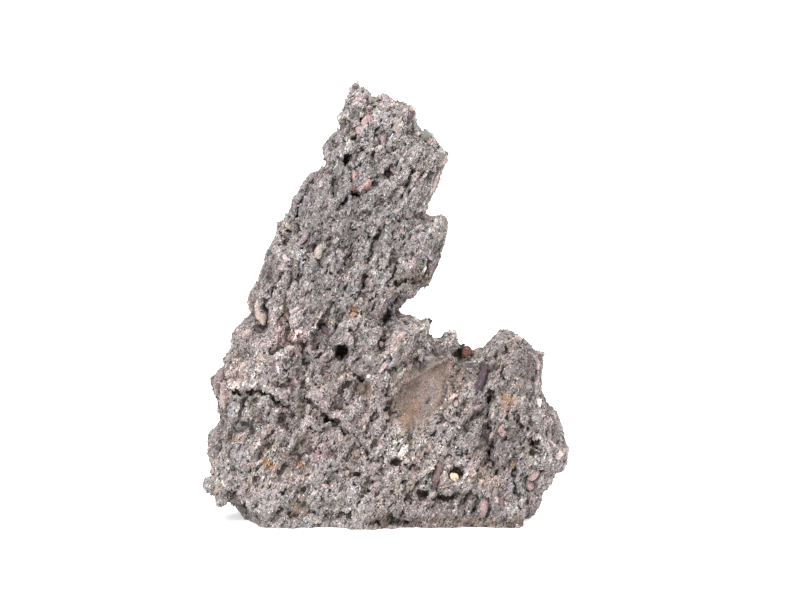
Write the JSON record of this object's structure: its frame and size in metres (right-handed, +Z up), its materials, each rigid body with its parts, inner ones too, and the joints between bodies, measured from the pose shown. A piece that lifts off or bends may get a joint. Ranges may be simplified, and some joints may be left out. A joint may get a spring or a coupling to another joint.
{
  "type": "aquascaping rock",
  "caption": "Free-standing porous stone for layouts: a leaning spire beside a low saddle and a rounded shoulder, with ledges, grooves and pits, cut flat underneath",
  "frame": {"origin": "middle of the bounding box of the stone, at the flat cut base it stands on", "axes": "+Z up along the stone's height, +X to the right of the broad front face from the spire to the shoulder, +Y to the back, through the stone's least depth"},
  "size_m": [0.364, 0.1606, 0.4345],
  "materials": {
    "stone": "rough broken breccia, grey to mauve, with pale crystalline grains, pink, lilac, cream and rust pebbles and dark pits"
  },
  "bodies": {
    "root": {"rock": "stone"}
  },
  "joints": []
}
